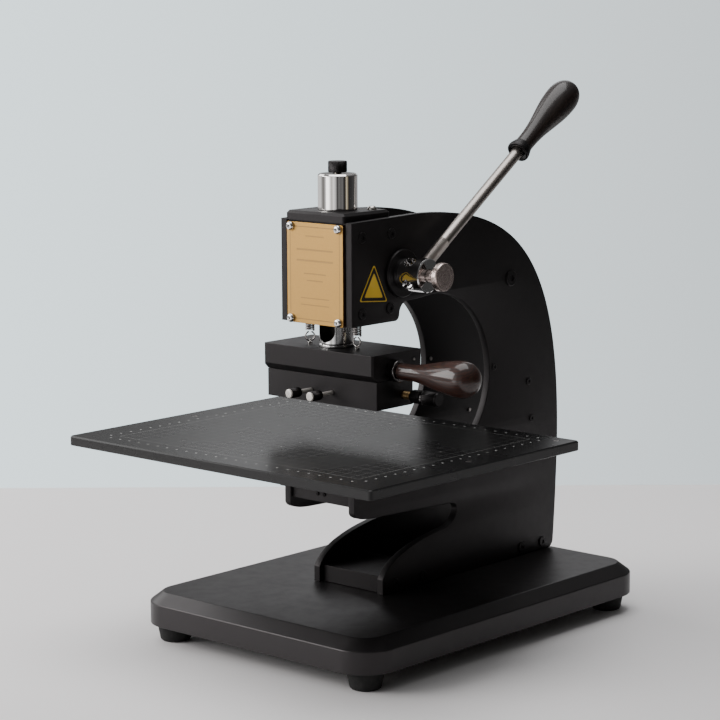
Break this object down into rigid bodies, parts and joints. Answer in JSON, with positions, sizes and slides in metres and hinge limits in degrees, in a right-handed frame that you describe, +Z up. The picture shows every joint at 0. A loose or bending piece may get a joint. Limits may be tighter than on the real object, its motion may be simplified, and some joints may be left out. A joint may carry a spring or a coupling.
{
  "type": "tabletop leather embossing press",
  "caption": "Hand-lever tabletop embossing press: ruled work table, twin side plates, rack-driven ram, die holder on a dovetail",
  "frame": {"origin": "Centre of the footprint, on the floor under the rubber feet", "axes": "+X to the operator's right (lever side), -Y towards the operator, +Z up"},
  "size_m": [0.3, 0.3608, 0.4134],
  "materials": {
    "black_paint": "satin black coating",
    "rubber": "matte black rubber",
    "chrome": "polished chrome",
    "steel": "turned and brushed steel",
    "brass": "satin brass",
    "gold_plate": "brushed, champagne gold anodised",
    "dark_wood": "dark stained and lacquered",
    "red_wood": "gloss lacquered reddish brown"
  },
  "bodies": {
    "frame": {"base_plate": "black_paint", "foot_front_left": "rubber", "foot_rear_left": "rubber", "foot_front_right": "rubber", "foot_rear_right": "rubber", "side_plate_left": "black_paint", "side_plate_right": "black_paint", "foot_block_front": "black_paint", "foot_block_rear": "black_paint", "table_cross_plate": "black_paint", "table_rear_plate": "black_paint", "tie_rod_upper": "black_paint", "tie_rod_lower": "black_paint", "work_table": "black_paint", "table_screw_front_left": "steel", "table_screw_rear_left": "steel", "table_screw_front_right": "steel", "table_screw_rear_right": "steel", "table_bracket_left": "black_paint", "table_bracket_right": "black_paint", "head_block": "black_paint", "top_cover": "black_paint", "cover_screw_left": "steel", "cover_screw_right": "steel", "nameplate": "gold_plate", "nameplate_screw_top_left": "chrome", "nameplate_screw_bottom_left": "chrome", "nameplate_screw_top_right": "chrome", "nameplate_screw_bottom_right": "chrome", "guide_cylinder": "chrome", "bearing_left": "black_paint", "bearing_right": "black_paint"},
    "adjuster": {"adjusting_screw": "steel", "adjusting_knob": "black_paint"},
    "lever": {"lever_shaft": "steel", "shaft_collar": "steel", "pinion": "steel", "lever_hub": "chrome", "lever_bar": "steel", "lever_ferrule": "black_paint", "lever_grip": "dark_wood"},
    "hub_clamp": {"hub_clamp_screw": "steel"},
    "ram": {"ram_bar": "chrome", "ram_rack": "steel", "ram_flange": "chrome", "return_spring_left": "steel", "return_spring_right": "steel", "spring_anchor_left": "steel", "spring_anchor_right": "steel", "platen": "black_paint", "side_handle_collar": "chrome", "side_handle_stud": "steel"},
    "side_handle": {"side_handle_grip": "red_wood"},
    "die_carrier": {"die_holder": "black_paint", "die_lock_nut": "black_paint"},
    "die_lock": {"die_lock_screw": "brass", "die_lock_knob": "black_paint"},
    "thumb_left": {"thumb_screw_left": "steel"},
    "thumb_right": {"thumb_screw_right": "steel"}
  },
  "joints": [
    {"name": "lever_turn", "type": "hinge", "parent": "frame", "child": "lever", "pos_m": [0, -0.0164, 0.278], "axis": [1, 0, 0], "range_deg": [0, 79.5]},
    {"name": "ram_slide", "type": "slide", "parent": "frame", "child": "ram", "axis": [0, 0, -1], "range_m": [0, 0.025], "stiffness_N_per_m": 1500, "springref_m": -0.02, "deforming": ["return_spring_left", "return_spring_right"]},
    {"name": "die_holder_slide", "type": "slide", "parent": "ram", "child": "die_carrier", "axis": [0, -1, 0], "range_m": [0, 0.034]},
    {"name": "die_lock_turn", "type": "hinge", "parent": "die_carrier", "child": "die_lock", "pos_m": [0.07, -0.0361, 0.192], "axis": [1, 0, 0], "range_deg": [-180, 180]},
    {"name": "thumb_left_turn", "type": "hinge", "parent": "die_carrier", "child": "thumb_left", "pos_m": [-0.0104, -0.0845, 0.1926], "axis": [0, 1, 0], "range_deg": [-180, 180]},
    {"name": "thumb_right_turn", "type": "hinge", "parent": "die_carrier", "child": "thumb_right", "pos_m": [0.0104, -0.0845, 0.1926], "axis": [0, 1, 0], "range_deg": [-180, 180]},
    {"name": "side_handle_turn", "type": "hinge", "parent": "ram", "child": "side_handle", "pos_m": [0.09, -0.049, 0.2118], "axis": [1, 0, 0], "range_deg": [-180, 180]},
    {"name": "adjuster_turn", "type": "hinge", "parent": "frame", "child": "adjuster", "pos_m": [0, -0.0467, 0.352], "axis": [0, 0, 1], "range_deg": [-180, 180]},
    {"name": "hub_clamp_turn", "type": "hinge", "parent": "lever", "child": "hub_clamp", "pos_m": [0.066, -0.0164, 0.278], "axis": [1, 0, 0], "range_deg": [-180, 180]}
  ],
  "couplings": [
    {"joint": "ram_slide", "follows": "lever_turn", "m_per_rad": 0.018}
  ]
}
